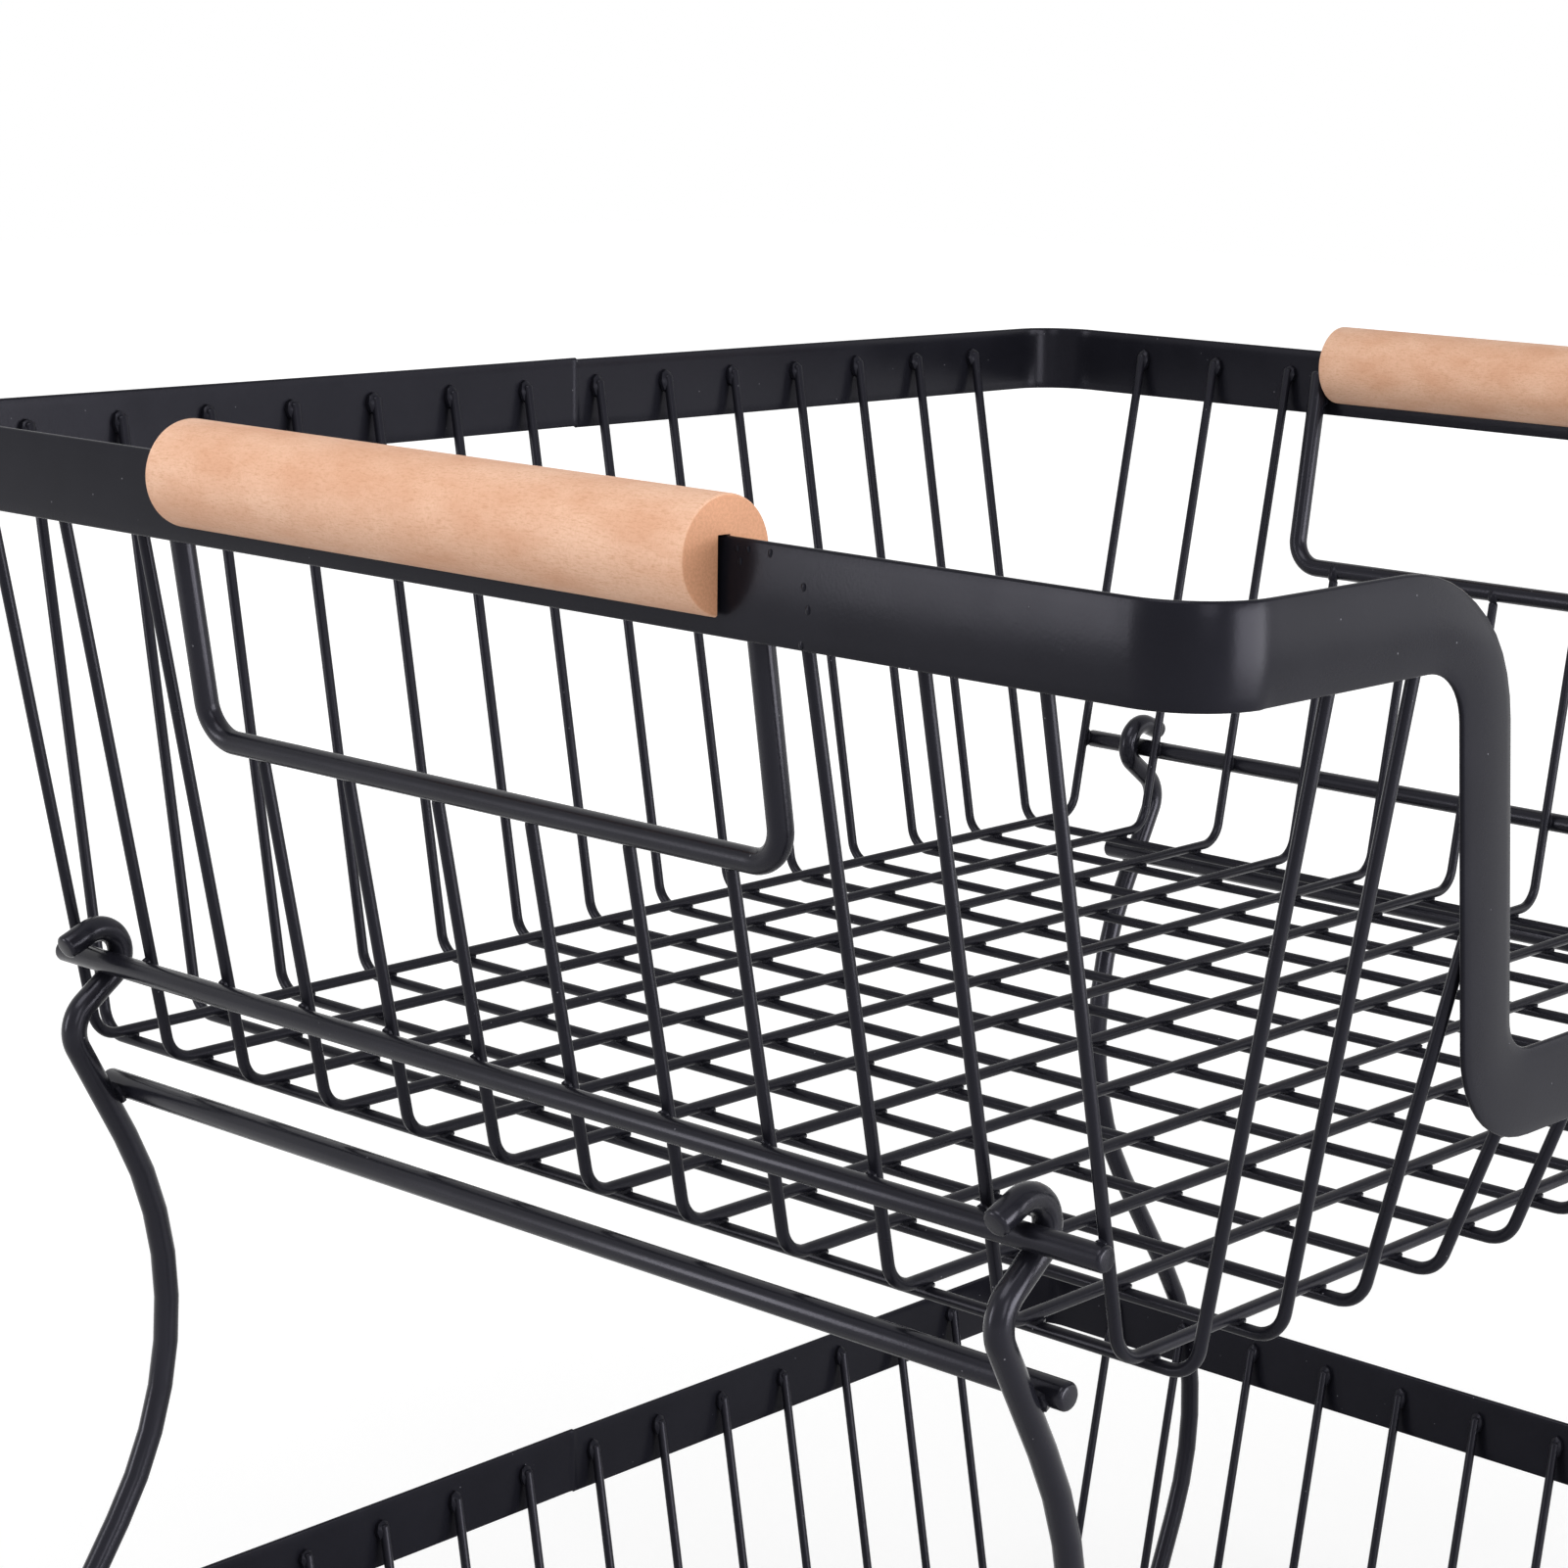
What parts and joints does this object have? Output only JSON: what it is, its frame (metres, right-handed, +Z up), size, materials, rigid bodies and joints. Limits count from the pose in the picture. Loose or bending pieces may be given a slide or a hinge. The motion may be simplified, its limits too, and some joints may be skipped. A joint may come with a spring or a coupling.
{
  "type": "tiered wire basket",
  "caption": "Open wire basket with a dipped front and wooden grips, stacked on a second wire basket by S-shaped legs that unhook.",
  "frame": {"origin": "on the ground, under the middle of the lower basket", "axes": "+Z up, +X to the right, the dipped front faces -Y"},
  "size_m": [0.3928, 0.332, 0.4026],
  "materials": {
    "rim_strip": "satin powder coat",
    "basket_wire": "satin powder coat",
    "basket_rod": "satin powder coat",
    "leg_rod": "satin powder coat",
    "wood_grip": "bare sanded"
  },
  "bodies": {
    "lower_basket": {"lower_rim": "rim_strip", "lower_cross_wires": "basket_wire", "lower_depth_wires": "basket_wire", "lower_dip_wires": "basket_wire", "lower_left_rod": "basket_rod", "lower_right_rod": "basket_rod"},
    "upper_basket": {"upper_rim": "rim_strip", "upper_cross_wires": "basket_wire", "upper_short_cross_wires": "basket_wire", "upper_depth_wires": "basket_wire", "upper_dip_wires": "basket_wire", "left_hand_bar": "basket_rod", "right_hand_bar": "basket_rod", "upper_left_rod": "basket_rod", "upper_right_rod": "basket_rod", "left_grip": "wood_grip", "right_grip": "wood_grip"},
    "left_frame": {"left_front_leg": "leg_rod", "left_back_leg": "leg_rod", "left_upper_crossbar": "leg_rod", "left_lower_crossbar": "leg_rod"},
    "right_frame": {"right_front_leg": "leg_rod", "right_back_leg": "leg_rod", "right_upper_crossbar": "leg_rod", "right_lower_crossbar": "leg_rod"}
  },
  "joints": [
    {"name": "upper_basket_lift", "type": "slide", "parent": "lower_basket", "child": "upper_basket", "axis": [0, 0, 1], "range_m": [0, 0.12]},
    {"name": "left_frame_swing", "type": "hinge", "parent": "upper_basket", "child": "left_frame", "pos_m": [-0.16242, 0, 0.289], "axis": [0, 1, 0], "range_deg": [0, 28]},
    {"name": "right_frame_swing", "type": "hinge", "parent": "upper_basket", "child": "right_frame", "pos_m": [0.16242, 0, 0.289], "axis": [0, -1, 0], "range_deg": [0, 28]}
  ],
  "couplings": [
    {"joint": "left_frame_swing", "follows": "upper_basket_lift", "rad_per_m": 3.5},
    {"joint": "right_frame_swing", "follows": "upper_basket_lift", "rad_per_m": 3.5}
  ]
}
